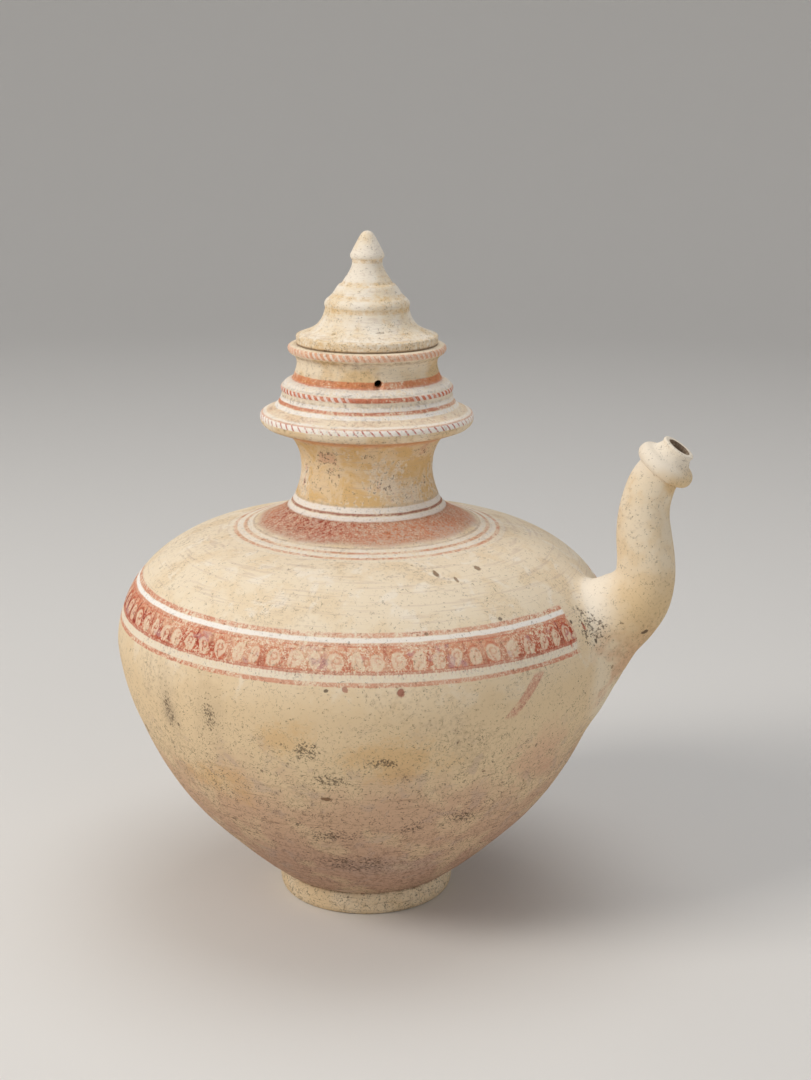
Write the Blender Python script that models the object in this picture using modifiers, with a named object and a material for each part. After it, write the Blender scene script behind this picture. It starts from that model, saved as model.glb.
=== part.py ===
"""A lidded kendi: a turned earthenware ewer for pouring water, with a curved spout and a loose lid.

Units are metres and +Z is up. The origin is on the turning axis, in the middle of the foot's underside.
The spout points along +X. The vessel is one hollow fired piece, parted here by thin gaps at its widest
level, at the neck's base and at the spout's root. The lid only rests on the rim.
"""

from math import cos, hypot, radians, sin

import bmesh
import bpy

# The foot and the belly, from the ground up.
FOOT_RADIUS = 0.0530
FOOT_HEIGHT = 0.014
FOOT_CHAMFER = 0.0012
BELLY_RADIUS = 0.148
LOWER_BELLY_HEIGHT = 0.147
SHOULDER_HEIGHT = 0.0795

# The neck, from the shoulder to the underside of the flange.
NECK_BASE_RADIUS = 0.0467
NECK_WAIST_RADIUS = 0.0386
NECK_TOP_RADIUS = 0.0434
NECK_HEIGHT = 0.0395

# The wide flange and the bead above it.
FLANGE_RADIUS = 0.0625
FLANGE_HEIGHT = 0.026
BEAD_SEAT_RADIUS = 0.0498
BEAD_RADIUS = 0.0503
BEAD_HEIGHT = 0.009

# The waisted collar and the beaded rim that the lid rests on.
COLLAR_FOOT_RADIUS = 0.0434
COLLAR_WAIST_RADIUS = 0.0408
COLLAR_HEIGHT = 0.013
RIM_WIDTH = 0.009
RIM_BEAD_REACH = 0.0037
RIM_BEAD_HEIGHT = 0.0073

# The hollow inside the vessel.
WALL = 0.0065
NECK_WALL = 0.006
COLLAR_WALL = 0.0073
BASE_THICKNESS = 0.015

# The small round hole through the collar, on the side of the spout and a little to one hand of it.
COLLAR_HOLE_RADIUS = 0.0022
COLLAR_HOLE_ABOVE_BEAD = 0.0034
COLLAR_HOLE_ANGLE = radians(-63)

# The spout: the widest radius of its root, its wall, and its bore through the head.
SPOUT_ROOT_RADIUS = 0.040
SPOUT_WALL = 0.006
SPOUT_BORE_RADIUS = 0.0066

# The spout's head: a thick rounded flange and a short mouthpiece, turned about one tilted axis.
# Its middle is out past the belly's widest radius and up from the belly's widest level.
HEAD_OUT = 0.0280
HEAD_UP = 0.1149
HEAD_TILT = radians(35)
HEAD_FLANGE_RADIUS = 0.0174
HEAD_FLANGE_HEIGHT = 0.0098
MOUTHPIECE_HEIGHT = 0.0084
MOUTHPIECE_WALL = 0.0033
MOUTHPIECE_FLARE = 0.0019
HEAD_SINK = 0.005

# The lid, from the disc that rests on the rim up to the tip of the finial.
LID_GAP = 0.0003
LID_SETBACK = 0.0012
LID_EDGE_HEIGHT = 0.005
LID_NECK_RADIUS = 0.0244
LID_FLARE_HEIGHT = 0.0155
LID_BULGE_RADIUS = 0.0248
LID_LEDGE_RADIUS = 0.0162
LID_DOME_HEIGHT = 0.0135
FINIAL_FOOT_RADIUS = 0.0143
FINIAL_NECK_RADIUS = 0.0088
FINIAL_STEM_HEIGHT = 0.0145
FINIAL_RADIUS = 0.0099
FINIAL_HEIGHT = 0.0159

# The lid's hollow underside, with a ring that keeps the lid in the middle of the mouth.
LID_RING_CLEARANCE = 0.0015
LID_RING_DEPTH = 0.009
LID_WALL = 0.005

# The gaps that part the belly, the shoulder, the neck and the spout, all of which are one fired piece.
JOINT_GAP = 0.0003

# How finely the round shapes are cut.
TURNED_SIDES = 36
SPOUT_SIDES = 20
BORE_SIDES = 16
HOLE_SIDES = 12
NECK_STEPS = 5
COLLAR_STEPS = 4
CUT_PAST = 0.01
MERGE = 0.00001
SHARP_CORNER = radians(40)

# The clay's looks in a plain view.
VESSEL_COLOUR = (0.68, 0.53, 0.38)
LID_COLOUR = (0.74, 0.63, 0.49)
CLAY_ROUGHNESS = 0.85

# Levels and radii that follow from the sizes above.
BELLY_LEVEL = FOOT_HEIGHT + LOWER_BELLY_HEIGHT
NECK_BASE_LEVEL = BELLY_LEVEL + SHOULDER_HEIGHT
FLANGE_FOOT_LEVEL = NECK_BASE_LEVEL + NECK_HEIGHT
BEAD_FOOT_LEVEL = FLANGE_FOOT_LEVEL + FLANGE_HEIGHT
COLLAR_FOOT_LEVEL = BEAD_FOOT_LEVEL + BEAD_HEIGHT
RIM_BEAD_LEVEL = COLLAR_FOOT_LEVEL + COLLAR_HEIGHT
RIM_LEVEL = RIM_BEAD_LEVEL + RIM_BEAD_HEIGHT
NECK_BORE_RADIUS = NECK_WAIST_RADIUS - NECK_WALL
MOUTH_RADIUS = COLLAR_WAIST_RADIUS - COLLAR_WALL
RIM_TOP_RADIUS = MOUTH_RADIUS + RIM_WIDTH
MOUTHPIECE_RADIUS = SPOUT_BORE_RADIUS + MOUTHPIECE_WALL
HEAD_NECK_RADIUS = MOUTHPIECE_RADIUS + MOUTHPIECE_FLARE
LID_LEVEL = RIM_LEVEL + LID_GAP
LID_RADIUS = RIM_TOP_RADIUS - LID_SETBACK

# Where the neck and the collar are narrowest, as a share of their own heights.
NECK_WAIST_SHARE = 0.54
COLLAR_WAIST_SHARE = 0.70

# The spout's middle line, as shares of the head's distance out and up from the belly's widest level, and
# of the radius from the head's neck to the root.
SPOUT_LINE = (
    (-1.36, 0.026, 1.00), (-0.85, 0.078, 0.93), (-0.41, 0.131, 0.65), (-0.04, 0.196, 0.48),
    (0.30, 0.265, 0.37), (0.54, 0.335, 0.28), (0.67, 0.422, 0.19), (0.68, 0.513, 0.16),
    (0.62, 0.644, 0.13), (0.60, 0.731, 0.10), (0.64, 0.818, 0.07), (0.77, 0.914, 0.05),
)

# The clay's outlines, as (share of the way across, share of the way up) between two corners.
LOWER_BELLY = (
    (0.0, 0.0), (0.076, 0.041), (0.149, 0.082), (0.221, 0.122), (0.354, 0.204), (0.480, 0.286),
    (0.589, 0.367), (0.680, 0.449), (0.787, 0.571), (0.874, 0.694), (0.947, 0.816), (0.985, 0.925),
)
SHOULDER = (
    (0.0, 0.0), (0.004, 0.088), (0.033, 0.239), (0.084, 0.390), (0.181, 0.541), (0.249, 0.616),
    (0.344, 0.692), (0.421, 0.742), (0.503, 0.774), (0.602, 0.799), (0.695, 0.818), (0.770, 0.849),
    (0.849, 0.887), (0.923, 0.931),
)
FLANGE_UNDERSIDE = ((0.10, 0.08), (0.29, 0.15), (0.57, 0.23), (0.85, 0.31), (0.96, 0.39), (1.0, 0.50))
FLANGE_TOP = ((0.97, 0.58), (0.86, 0.62), (0.54, 0.69), (0.29, 0.77), (0.15, 0.85), (0.06, 0.92))
BEAD = ((0.93, 0.0), (1.0, 0.25), (0.97, 0.48), (0.82, 0.60), (0.42, 0.78), (0.15, 0.92))
RIM_BEAD = ((0.55, 0.27), (0.88, 0.52), (1.0, 0.72), (0.88, 0.88))
HEAD_FLANGE = ((0.43, 0.03), (0.82, 0.17), (0.98, 0.38), (1.0, 0.58), (0.86, 0.79), (0.57, 0.93), (0.12, 1.0))
MOUTHPIECE = ((0.0, 0.17), (0.53, 0.36), (1.0, 0.62), (1.0, 0.87), (1.35, 1.0))
LID_FLARE = ((0.81, 0.08), (0.46, 0.23), (0.27, 0.36), (0.17, 0.49), (0.08, 0.68), (0.02, 0.87))
LID_DOME = ((0.0, 0.16), (0.14, 0.36), (0.33, 0.46), (0.55, 0.59), (0.83, 0.88), (1.0, 1.0))
FINIAL_STEM = ((0.0, 0.0), (0.07, 0.17), (0.38, 0.30), (0.80, 0.58), (1.0, 0.76), (1.0, 0.97))
FINIAL_CONE = ((1.0, 0.12), (0.82, 0.37), (0.36, 0.88), (0.20, 0.97))


def between(start, end, shares):
    """Points at the given shares of the way from start to end; each point is (radius, height)."""
    return [
        (start[0] + (end[0] - start[0]) * across, start[1] + (end[1] - start[1]) * up)
        for across, up in shares
    ]


def waisted(bottom, top, waist, waist_share, steps):
    """A hollow curve from bottom to top, whose narrowest radius is at waist_share of its height."""
    points = []
    for step in range(steps + 1):
        up = step / steps
        if up < waist_share:
            spread = (bottom[0] - waist) * (1 - up / waist_share) ** 2
        else:
            spread = (top[0] - waist) * ((up - waist_share) / (1 - waist_share)) ** 2
        points.append((waist + spread, bottom[1] + (top[1] - bottom[1]) * up))
    return points


def inset(outline, depth):
    """The outline moved into the clay by depth, square to its own direction at each inner point."""
    moved = []
    for before, point, after in zip(outline, outline[1:], outline[2:]):
        along = (after[0] - before[0], after[1] - before[1])
        length = hypot(*along)
        moved.append((point[0] - along[1] / length * depth, point[1] + along[0] / length * depth))
    return moved


def lower_outline():
    """The outside of the lower belly, from the foot up to its widest level."""
    return between((FOOT_RADIUS, FOOT_HEIGHT), (BELLY_RADIUS, BELLY_LEVEL), LOWER_BELLY)


def shoulder_outline():
    """The outside of the shoulder, from the belly's widest level up to the neck."""
    return between((BELLY_RADIUS, BELLY_LEVEL), (NECK_BASE_RADIUS, NECK_BASE_LEVEL), SHOULDER)


def belly_outline():
    """The outside of the whole belly, from the foot up to the neck."""
    return lower_outline() + shoulder_outline()


def neck_outline():
    """The outside of the neck, the flange, the bead, the collar and the rim, from the shoulder up."""
    neck_base = (NECK_BASE_RADIUS, NECK_BASE_LEVEL)
    neck_top = (NECK_TOP_RADIUS, FLANGE_FOOT_LEVEL)
    flange_edge = (FLANGE_RADIUS, BEAD_FOOT_LEVEL)
    collar_foot = (COLLAR_FOOT_RADIUS, COLLAR_FOOT_LEVEL)
    rim_foot = (RIM_TOP_RADIUS, RIM_BEAD_LEVEL)
    return (
        waisted(neck_base, neck_top, NECK_WAIST_RADIUS, NECK_WAIST_SHARE, NECK_STEPS)
        + between(neck_top, flange_edge, FLANGE_UNDERSIDE)
        + between((BEAD_SEAT_RADIUS, FLANGE_FOOT_LEVEL), flange_edge, FLANGE_TOP)
        + between((COLLAR_FOOT_RADIUS, BEAD_FOOT_LEVEL), (BEAD_RADIUS, COLLAR_FOOT_LEVEL), BEAD)
        + waisted(collar_foot, rim_foot, COLLAR_WAIST_RADIUS, COLLAR_WAIST_SHARE, COLLAR_STEPS)
        + between(rim_foot, (RIM_TOP_RADIUS + RIM_BEAD_REACH, RIM_LEVEL), RIM_BEAD)
        + [(RIM_TOP_RADIUS, RIM_LEVEL)]
    )


def vessel_profile():
    """The outside of the foot and lower belly as a solid, up to the joint at the widest level."""
    foot = [(0, 0), (FOOT_RADIUS - FOOT_CHAMFER, 0), (FOOT_RADIUS, FOOT_CHAMFER)]
    below = [(radius, level) for radius, level in lower_outline() if level < BELLY_LEVEL - JOINT_GAP]
    joint = BELLY_LEVEL - JOINT_GAP
    return foot + below + [(BELLY_RADIUS, joint), (0, joint)]


def shoulder_profile():
    """The outside of the shoulder as a solid, from the widest level up to the neck's joint."""
    joint = NECK_BASE_LEVEL - JOINT_GAP
    above = [(radius, level) for radius, level in shoulder_outline() if BELLY_LEVEL < level < joint]
    return [(0, BELLY_LEVEL), (BELLY_RADIUS, BELLY_LEVEL)] + above + [(NECK_BASE_RADIUS, joint), (0, joint)]


def neck_profile():
    """The outside of the neck and collar as a solid, from the neck's joint up to the middle of the rim."""
    return [(0, NECK_BASE_LEVEL)] + neck_outline() + [(0, RIM_LEVEL)]


def joint_profile():
    """The vessel's outside from the foot to the neck, and a joint's gap more, as a solid."""
    outside = inset(belly_outline(), -JOINT_GAP)
    return [(0, outside[0][1])] + outside + [(0, outside[-1][1])]


def cavity_profile():
    """The hollow inside the vessel, from the middle of its floor up through the open mouth."""
    walls = [
        (radius, level)
        for radius, level in inset(belly_outline()[::2] + [(NECK_BASE_RADIUS, NECK_BASE_LEVEL)], WALL)
        if level > BASE_THICKNESS and radius > NECK_BORE_RADIUS
    ]
    floor = [(0, BASE_THICKNESS), (FOOT_RADIUS - 2 * WALL, BASE_THICKNESS)]
    neck = [(NECK_BORE_RADIUS, NECK_BASE_LEVEL - WALL), (NECK_BORE_RADIUS, FLANGE_FOOT_LEVEL)]
    above = RIM_LEVEL + CUT_PAST
    mouth = [(MOUTH_RADIUS, COLLAR_FOOT_LEVEL), (MOUTH_RADIUS, above), (0, above)]
    return floor + walls + neck + mouth


def head_profile():
    """The spout's head, from inside the tube up to the lip, about its own axis."""
    bottom = -HEAD_FLANGE_HEIGHT / 2
    top = HEAD_FLANGE_HEIGHT / 2
    lip = top + MOUTHPIECE_HEIGHT
    return (
        [(0, bottom - HEAD_SINK), (MOUTHPIECE_RADIUS, bottom - HEAD_SINK)]
        + between((HEAD_NECK_RADIUS, bottom), (HEAD_FLANGE_RADIUS, top), HEAD_FLANGE)
        + between((HEAD_NECK_RADIUS, top), (MOUTHPIECE_RADIUS, lip), MOUTHPIECE)
        + [(0, lip)]
    )


def lid_profile():
    """The lid, from the top of its hollow, down inside, round the ring and the disc, and up to the tip."""
    ring_outer = MOUTH_RADIUS - LID_RING_CLEARANCE
    ring_inner = ring_outer - LID_WALL
    ring_foot = LID_LEVEL - LID_RING_DEPTH
    edge = LID_LEVEL + LID_EDGE_HEIGHT
    dome_foot = edge + LID_FLARE_HEIGHT
    ledge = dome_foot + LID_DOME_HEIGHT
    stem_top = ledge + FINIAL_STEM_HEIGHT
    tip = stem_top + FINIAL_HEIGHT
    hollow = [
        (0, ledge - LID_WALL),
        (LID_LEDGE_RADIUS - LID_WALL, ledge - LID_WALL),
        (LID_NECK_RADIUS - LID_WALL, dome_foot),
        (ring_inner, edge - LID_WALL / 2),
        (ring_inner, ring_foot),
        (ring_outer, ring_foot),
        (ring_outer, LID_LEVEL),
    ]
    return (
        hollow
        + [(LID_RADIUS, LID_LEVEL), (LID_RADIUS, edge)]
        + between((LID_NECK_RADIUS, edge), (LID_RADIUS, dome_foot), LID_FLARE)
        + [(LID_NECK_RADIUS, dome_foot)]
        + between((LID_BULGE_RADIUS, dome_foot), (LID_LEDGE_RADIUS, ledge), LID_DOME)
        + between((FINIAL_FOOT_RADIUS, ledge), (FINIAL_NECK_RADIUS, stem_top), FINIAL_STEM)
        + between((0, stem_top), (FINIAL_RADIUS, tip), FINIAL_CONE)
        + [(0, tip)]
    )


def finish(shape, material):
    """Smooth shading with crisp corners, and the clay's own material."""
    shape.data.shade_smooth()
    shape.data.set_sharp_from_angle(angle=SHARP_CORNER)
    shape.data.materials.clear()
    shape.data.materials.append(material)


def clay(name, colour):
    """Dull fired clay of one colour."""
    material = bpy.data.materials.new(name)
    material.use_nodes = True
    shader = material.node_tree.nodes["Principled BSDF"]
    shader.inputs["Base Color"].default_value = (*colour, 1)
    shader.inputs["Roughness"].default_value = CLAY_ROUGHNESS
    shader.inputs["Metallic"].default_value = 0
    return material


def turned(name, profile, sides, collection):
    """A solid of revolution about its own Z axis; the profile is given from its bottom to its top."""
    mesh = bpy.data.meshes.new(name)
    shape = bpy.data.objects.new(name, mesh)
    collection.objects.link(shape)
    outline = bmesh.new()
    corners = [outline.verts.new((radius, 0, height)) for radius, height in reversed(profile)]
    for upper, lower in zip(corners, corners[1:]):
        outline.edges.new((upper, lower))
    outline.to_mesh(mesh)
    outline.free()
    screw = shape.modifiers.new("Turn", "SCREW")
    screw.steps = sides
    screw.render_steps = sides
    screw.use_merge_vertices = True
    screw.merge_threshold = MERGE
    return shape


def tube(name, route, sides, collection):
    """A round tube along a route of (x, z, radius) in the plane of the spout, as a closed mesh."""
    curve = bpy.data.curves.new(name, "CURVE")
    curve.dimensions = "3D"
    curve.bevel_depth = 1.0
    curve.bevel_resolution = (sides - 4) // 2
    curve.use_fill_caps = True
    spline = curve.splines.new("POLY")
    spline.points.add(len(route) - 1)
    for point, (x, z, radius) in zip(spline.points, route):
        point.co = (x, 0, z, 1)
        point.radius = radius
    guide = bpy.data.objects.new(name, curve)
    collection.objects.link(guide)
    bpy.context.view_layer.update()
    mesh = bpy.data.meshes.new_from_object(guide.evaluated_get(bpy.context.evaluated_depsgraph_get()))
    shell = bmesh.new()
    shell.from_mesh(mesh)
    bmesh.ops.remove_doubles(shell, verts=shell.verts, dist=MERGE)
    bmesh.ops.recalc_face_normals(shell, faces=shell.faces)
    shell.to_mesh(mesh)
    shell.free()
    shape = bpy.data.objects.new(name, mesh)
    shape.matrix_world = guide.matrix_world
    collection.objects.link(shape)
    bpy.data.objects.remove(guide)
    shape.name = name
    return shape


def spout_route():
    """The spout's middle line in world coordinates, as (x, z, radius), ending inside the head."""
    route = [
        (
            BELLY_RADIUS + HEAD_OUT * out,
            BELLY_LEVEL + HEAD_UP * up,
            HEAD_NECK_RADIUS + (SPOUT_ROOT_RADIUS - HEAD_NECK_RADIUS) * widening,
        )
        for out, up, widening in SPOUT_LINE
    ]
    return route + [(*head_point(0), HEAD_NECK_RADIUS)]


def head_point(height):
    """A point (x, z) on the head's axis, at a height above the middle of its flange."""
    x = BELLY_RADIUS + HEAD_OUT + height * sin(HEAD_TILT)
    z = BELLY_LEVEL + HEAD_UP + height * cos(HEAD_TILT)
    return x, z


def bore_route():
    """The spout's bore, a wall's thickness inside the tube, and on out through the mouthpiece."""
    inside = [(x, z, max(radius - SPOUT_WALL, SPOUT_BORE_RADIUS)) for x, z, radius in spout_route()]
    mouth = HEAD_FLANGE_HEIGHT / 2 + MOUTHPIECE_HEIGHT + CUT_PAST
    return inside + [(*head_point(mouth), SPOUT_BORE_RADIUS)]


def collar_hole(collection):
    """The straight drill through the collar's wall."""
    reach = COLLAR_WAIST_RADIUS
    bpy.ops.mesh.primitive_cylinder_add(
        vertices=HOLE_SIDES,
        radius=COLLAR_HOLE_RADIUS,
        depth=reach,
        location=(
            reach * cos(COLLAR_HOLE_ANGLE),
            reach * sin(COLLAR_HOLE_ANGLE),
            COLLAR_FOOT_LEVEL + COLLAR_HOLE_ABOVE_BEAD,
        ),
        rotation=(0, radians(90), COLLAR_HOLE_ANGLE),
    )
    drill = bpy.context.object
    drill.name = "collar_hole"
    for owner in list(drill.users_collection):
        owner.objects.unlink(drill)
    collection.objects.link(drill)
    return drill


def combine(shape, other, operation):
    """Joins the other shape to this one, or cuts it away, and hides the other."""
    boolean = shape.modifiers.new(other.name, "BOOLEAN")
    boolean.solver = "EXACT"
    boolean.operation = operation
    boolean.object = other
    other.hide_render = True
    other.display_type = "WIRE"


def build_vessel(parts, cutters):
    """The foot and the hollow lower belly, open at the top and where the spout grows out of it."""
    vessel = turned("vessel", vessel_profile(), TURNED_SIDES, parts)
    combine(vessel, turned("cavity", cavity_profile(), TURNED_SIDES, cutters), "DIFFERENCE")
    combine(vessel, tube("wall_opening", bore_route(), BORE_SIDES, cutters), "DIFFERENCE")
    finish(vessel, clay("slipped earthenware", VESSEL_COLOUR))


def build_shoulder(parts, cutters):
    """The hollow shoulder, open to the belly, to the neck and where the spout grows out of it."""
    shoulder = turned("shoulder", shoulder_profile(), TURNED_SIDES, parts)
    combine(shoulder, turned("shoulder_cavity", cavity_profile(), TURNED_SIDES, cutters), "DIFFERENCE")
    combine(shoulder, tube("shoulder_opening", bore_route(), BORE_SIDES, cutters), "DIFFERENCE")
    finish(shoulder, clay("slipped earthenware of the shoulder", VESSEL_COLOUR))


def build_neck(parts, cutters):
    """The hollow neck with its flange, collar and rim, and the small hole through the collar."""
    neck = turned("neck", neck_profile(), TURNED_SIDES, parts)
    combine(neck, turned("neck_cavity", cavity_profile(), TURNED_SIDES, cutters), "DIFFERENCE")
    combine(neck, collar_hole(cutters), "DIFFERENCE")
    finish(neck, clay("slipped earthenware of the neck", VESSEL_COLOUR))


def build_spout(parts, cutters):
    """The hollow spout and its head, from the belly's surface to the lip."""
    spout = tube("spout", spout_route(), SPOUT_SIDES, parts)
    head = turned("spout_head", head_profile(), SPOUT_SIDES, cutters)
    x, z = head_point(0)
    head.location = (x, 0, z)
    head.rotation_euler = (0, HEAD_TILT, 0)
    combine(spout, head, "UNION")
    combine(spout, turned("spout_joint", joint_profile(), TURNED_SIDES, cutters), "DIFFERENCE")
    combine(spout, tube("spout_bore", bore_route(), BORE_SIDES, cutters), "DIFFERENCE")
    finish(spout, clay("slipped earthenware of the spout", VESSEL_COLOUR))


def build_lid(parts):
    """The loose lid, resting just above the rim."""
    lid = turned("lid", lid_profile(), TURNED_SIDES, parts)
    finish(lid, clay("pale slipped earthenware", LID_COLOUR))


def main():
    for old in list(bpy.data.objects):
        bpy.data.objects.remove(old)
    parts = bpy.data.collections.new("kendi")
    cutters = bpy.data.collections.new("cutters")
    bpy.context.scene.collection.children.link(parts)
    bpy.context.scene.collection.children.link(cutters)
    build_vessel(parts, cutters)
    build_shoulder(parts, cutters)
    build_neck(parts, cutters)
    build_spout(parts, cutters)
    build_lid(parts)


main()
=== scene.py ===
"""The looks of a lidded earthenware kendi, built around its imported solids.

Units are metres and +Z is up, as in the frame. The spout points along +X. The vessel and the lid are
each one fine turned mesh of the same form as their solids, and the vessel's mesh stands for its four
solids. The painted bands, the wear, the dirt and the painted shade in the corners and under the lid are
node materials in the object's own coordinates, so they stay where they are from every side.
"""

from math import ceil, cos, pi, radians, sin

import bmesh
import bpy
import numpy as np
from mathutils import Euler, Matrix, Vector, noise


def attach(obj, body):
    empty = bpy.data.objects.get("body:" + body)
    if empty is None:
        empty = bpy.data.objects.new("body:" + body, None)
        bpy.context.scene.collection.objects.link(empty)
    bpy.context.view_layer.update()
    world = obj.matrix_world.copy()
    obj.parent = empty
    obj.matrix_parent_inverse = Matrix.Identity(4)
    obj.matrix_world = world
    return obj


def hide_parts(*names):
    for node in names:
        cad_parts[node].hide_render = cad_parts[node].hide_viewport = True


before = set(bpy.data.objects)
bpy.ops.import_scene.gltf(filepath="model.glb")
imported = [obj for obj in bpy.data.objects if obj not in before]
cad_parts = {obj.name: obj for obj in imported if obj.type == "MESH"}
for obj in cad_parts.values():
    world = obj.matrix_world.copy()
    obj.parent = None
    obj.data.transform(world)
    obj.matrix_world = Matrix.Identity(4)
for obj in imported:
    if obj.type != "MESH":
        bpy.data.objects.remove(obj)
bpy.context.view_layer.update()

MM = 0.001

# The outlines, as (radius, height) in millimetres. Each run is a smooth curve, and runs meet at an edge.
UNDERSIDE = ((0, 0), (26, 0), (49.4, 0))
FOOT_SIDE = (
    (49.4, 0), (50.9, 0.8), (52, 2.6), (52.7, 5), (53, 8), (52.8, 11), (52.2, 13.2), (51.5, 14.2),
)
LOWER_BELLY = (
    (51.5, 14.2), (53.9, 15.6), (57.2, 18), (60, 20.2), (67.2, 26), (74, 32), (80.5, 38), (86.6, 44),
    (92.8, 50), (98.6, 56), (104.1, 62), (109, 68), (113.5, 74), (117.6, 80), (124.7, 92), (130.8, 104),
    (136, 116), (140.8, 128), (144.4, 140), (146.8, 152), (147.9, 161),
)
SHOULDER = (
    (147.9, 161), (147.5, 168), (146.4, 174), (144.6, 180), (142.4, 186), (139.3, 192), (135, 198),
    (129.6, 204), (122.5, 210), (116.5, 214), (111.3, 217), (104.8, 220), (97, 222.6), (88, 224.8),
    (79, 226.6), (70, 228.8), (62, 231.6), (54.6, 235.1), (49.2, 238.4), (46.6, 240.5),
)
NECK = (
    (46.6, 240.5), (43.8, 244), (41.9, 248), (40.5, 252), (39.2, 257), (38.6, 262), (38.8, 267),
    (39.6, 272), (41.1, 276), (43.3, 280), (45.4, 282.2), (49, 284.2), (54.2, 286), (59.4, 287.9),
)
FLANGE_EDGE = ((59.4, 287.9), (61.5, 289.8), (62.4, 292.4), (62.3, 294.6), (61.2, 296), (59.6, 296.7))
FLANGE_TOP = ((59.6, 296.7), (56.6, 298.1), (53.6, 299.9), (51.7, 302), (50.6, 304), (50, 306.2))
BEAD = (
    (50, 306.2), (49.6, 307.3), (49.7, 308.4), (50.2, 309.3), (50.3, 310.4), (49.8, 311.6), (48.9, 312.3),
)
FILLET = ((48.9, 312.3), (48.1, 313.3), (46.7, 314.3), (45, 315), (43.7, 315.4))
COLLAR = (
    (43.7, 315.4), (42.9, 317), (42.1, 319), (41.3, 321.5), (40.9, 324), (41.1, 326.4), (41.9, 328.2),
    (43.2, 329.5),
)
RIM = (
    (43.2, 329.5), (44.9, 330.6), (45.9, 332), (46.1, 333.3), (45.5, 334.6), (44.2, 335.2), (42.6, 335.3),
)
RIM_TOP = ((42.6, 335.3), (33.5, 335.3))
CLOSING = ((33.5, 335.3), (0, 335.3))
CAVITY = (
    (0, 15), (20, 15), (39.5, 15), (62, 30.5), (76, 43), (90, 57), (104, 73), (115.5, 90),
    (125, 108), (133.8, 133), (139.5, 152), (141.5, 161), (140, 176), (135.5, 189), (126.5, 200),
    (114.5, 208), (99, 215.5), (80, 219.8), (62, 224.5), (46, 231), (32.6, 234), (32.6, 260), (32.6, 280),
    (33.5, 315), (33.5, 346), (0, 346),
)

# The lid's outlines in the same form, from the top of its hollow, down inside, and up to the tip.
LID_HOLLOW = ((0, 364.6), (11.2, 364.6), (19.4, 356.1), (27, 338.1), (27, 326.6))
LID_RING = ((27, 326.6), (32, 326.6), (32, 335.6))
LID_SEAT = ((32, 335.6), (36, 335.6), (40.9, 335.6))
LID_EDGE = ((40.9, 335.6), (41.2, 336), (41.2, 338), (41.2, 340), (40.9, 340.6), (40.2, 340.9))
LID_FLARE = (
    (40.2, 340.9), (38, 341.8), (35, 342.9), (32.4, 344.1), (29.4, 346.1), (27.6, 348.2), (26.2, 350.4),
    (25.3, 352.6), (24.7, 354.8), (24.4, 356.3),
)
LID_ROLL = ((24.4, 356.3), (24.7, 357.2), (24.8, 358.6), (24.3, 360.1), (23.2, 361.4), (22, 362.3))
LID_DOME = ((22, 362.3), (20.2, 364.1), (18.8, 366.2), (17.6, 368.1), (16.3, 369.5))
LEDGE = ((16.3, 369.5), (15.4, 369.9), (14.6, 370.3))
STEM = ((14.6, 370.3), (13.8, 371.8), (12.3, 374), (10.9, 376.2), (9.8, 378.4), (9, 380.6), (8.7, 383.6))
FINIAL_FOOT = ((8.7, 383.6), (9.4, 384.3), (9.9, 385.4), (9.8, 386.6))
FINIAL = (
    (9.8, 386.6), (8.9, 388.6), (7.7, 391), (6.4, 393.4), (5, 396), (3.6, 398.1), (2, 399.5), (0, 400),
)

# The spout's middle line, as (x, height, radius) in millimetres, and its wall.
SPOUT_LINE = (
    (110, 164, 40), (124.3, 170, 38), (136.5, 176, 30), (147, 183.5, 25.2), (156.5, 191.5, 22.2),
    (163, 199.5, 19.8), (166.8, 209.5, 17.2), (167, 220, 16.4), (165.3, 235, 15.6), (164.8, 245, 14.6),
    (166, 255, 13.8), (169.5, 266, 13.2), (176, 275.9, 11.8),
)
SPOUT_WALL = 6
SPOUT_BORE = 6.6
MOUTH_REACH = 22

# The spout's head, turned about its own axis: the middle of its flange, and its tilt from upright.
HEAD_AT = (176, 275.9)
HEAD_TILT = radians(35)
HEAD_FLANGE = (
    (0, -9.9), (9.9, -9.9), (11.6, -5.2), (14.2, -4.7), (16.3, -3.3), (17.3, -1.3), (17.3, 0.8),
    (16.5, 2.8), (14.9, 4.2), (12.7, 5.1), (11.4, 6.2), (10.5, 7.8),
)
MOUTHPIECE = (
    (10.5, 7.8), (9.7, 9.4), (9.5, 10.8), (9.9, 11.9), (9.6, 12.6), (8.7, 12.9), (7.4, 12.7), (0, 12.7),
)

# The small hole through the collar: where it is, and its outline from inside to outside.
HOLE_AZIMUTH = radians(-63)
HOLE_HEIGHT = 318.4
HOLE = ((0, 28), (2.15, 28), (2.15, 40.9), (2.5, 41.5), (3.1, 42.2), (3.7, 43.2), (3.7, 47), (0, 47))

# How finely the turned shapes are cut.
SIDES = 240
ROPE_SIDES = 480
INNER_SIDES = 72
SPOUT_SIDES = 72
BORE_SIDES = 48
HOLE_SIDES = 40
FLOOR_SIDES = 96

# The pinched rope edges: how many nicks go round, their depth, how far they lean, and where the edges are,
# as (low, high, nicks) with heights in metres.
FLANGE_NICKS = 80
BEAD_NICKS = 72
NICK_DEPTH = 0.00035
NICK_LEAN = 990
NICKED_EDGES = ((0.292, 0.2966, FLANGE_NICKS), (0.3086, 0.3118, BEAD_NICKS), (0.331, 0.335, BEAD_NICKS))

# How softly the spout grows out of the belly, above and below, and how uneven the hand-made surface is.
SADDLE_BLEND = 0.007
UNDER_BLEND = 0.022
BLEND_PASSES = 5
UNEVEN = 0.00028

# How near to the outside a vertex counts as lying on it, and how close together vertices are joined.
ON_SKIN = 0.0006
JOINED = 0.00003

# Edges sharper than these angles stay crisp, on the vessel and on the lid.
VESSEL_CORNER = radians(48)
LID_CORNER = radians(40)

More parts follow.
